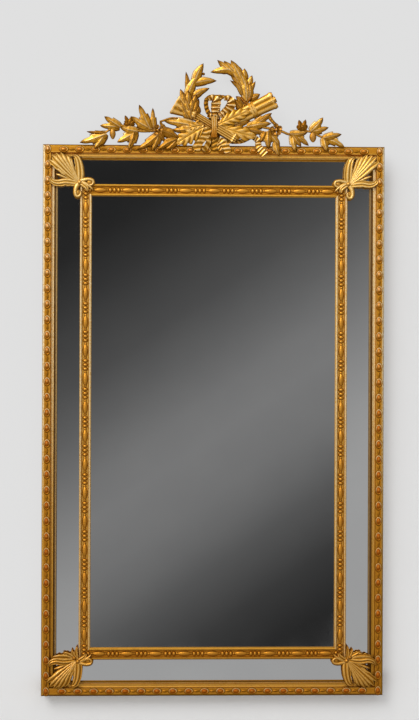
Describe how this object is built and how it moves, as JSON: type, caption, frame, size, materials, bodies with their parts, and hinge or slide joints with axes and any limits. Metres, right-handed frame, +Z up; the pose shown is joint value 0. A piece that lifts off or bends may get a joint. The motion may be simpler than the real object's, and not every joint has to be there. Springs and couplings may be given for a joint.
{
  "type": "wall mirror",
  "caption": "Upright gilded wall mirror with a framed centre plate, mirror margins, carved corner leaves and a pierced trophy crest; hangs from rings on its back.",
  "frame": {"origin": "on the wall plane, midway between the two hanger bars", "axes": "+Z up, -Y is the front, the wall is the plane y = 0, +X is the right-hand side as seen from the front"},
  "size_m": [0.95, 0.0678, 1.7683],
  "materials": {
    "gilded_wood": "water gilding over red bole, rubbed",
    "gilded_ornament": "gilded moulded ornament, red bole in the hollows",
    "gilded_carving": "gilded carving, matt in the hollows",
    "silvered_glass": "silvered glass",
    "pine_back": "unfinished aged pine",
    "iron": "black iron",
    "steel_screws": "dull steel",
    "felt": "brown felt"
  },
  "bodies": {
    "mirror": {"bead_run_bottom": "gilded_ornament", "bead_run_left": "gilded_ornament", "bead_run_right": "gilded_ornament", "bead_run_top": "gilded_ornament", "carcass_panel_lower": "pine_back", "carcass_panel_upper": "pine_back", "carcass_rail_bottom": "pine_back", "carcass_rail_middle": "pine_back", "carcass_rail_top": "pine_back", "carcass_stile_left": "pine_back", "carcass_stile_right": "pine_back", "centre_plate": "silvered_glass", "corner_leaf_bottom_left": "gilded_carving", "corner_leaf_bottom_right": "gilded_carving", "corner_leaf_top_left": "gilded_carving", "corner_leaf_top_right": "gilded_carving", "crest_centre_leaves": "gilded_carving", "crest_laurel_left": "gilded_carving", "crest_laurel_right": "gilded_carving", "crest_quiver": "gilded_carving", "crest_ribbon_bow": "gilded_carving", "crest_ribbon_tails": "gilded_carving", "crest_screws": "steel_screws", "crest_spray_left": "gilded_carving", "crest_spray_right": "gilded_carving", "crest_tie": "gilded_carving", "crest_tongue": "pine_back", "crest_torch": "gilded_carving", "glazing_slip_bottom": "gilded_wood", "glazing_slip_left": "gilded_wood", "glazing_slip_right": "gilded_wood", "glazing_slip_top": "gilded_wood", "hanger_plate_left": "iron", "hanger_plate_right": "iron", "hanger_screws": "steel_screws", "inner_frame_screws": "steel_screws", "inner_rail_bottom": "gilded_wood", "inner_rail_top": "gilded_wood", "inner_stile_left": "gilded_wood", "inner_stile_right": "gilded_wood", "margin_plate_bottom": "silvered_glass", "margin_plate_left": "silvered_glass", "margin_plate_right": "silvered_glass", "margin_plate_top": "silvered_glass", "mitre_keys": "pine_back", "outer_frame_screws": "steel_screws", "outer_rail_bottom": "gilded_wood", "outer_rail_top": "gilded_wood", "outer_stile_left": "gilded_wood", "outer_stile_right": "gilded_wood", "oval_run_bottom": "gilded_ornament", "oval_run_left": "gilded_ornament", "oval_run_right": "gilded_ornament", "oval_run_top": "gilded_ornament", "wall_bumpers": "felt"},
    "ring_left": {"hanger_ring_left": "iron"},
    "ring_right": {"hanger_ring_right": "iron"}
  },
  "joints": [
    {"name": "ring_left_turn", "type": "hinge", "parent": "mirror", "child": "ring_left", "pos_m": [-0.403, -0.0045, 0], "axis": [1, 0, 0], "range_deg": [0, 180]},
    {"name": "ring_right_turn", "type": "hinge", "parent": "mirror", "child": "ring_right", "pos_m": [0.403, -0.0045, 0], "axis": [1, 0, 0], "range_deg": [0, 180]}
  ]
}
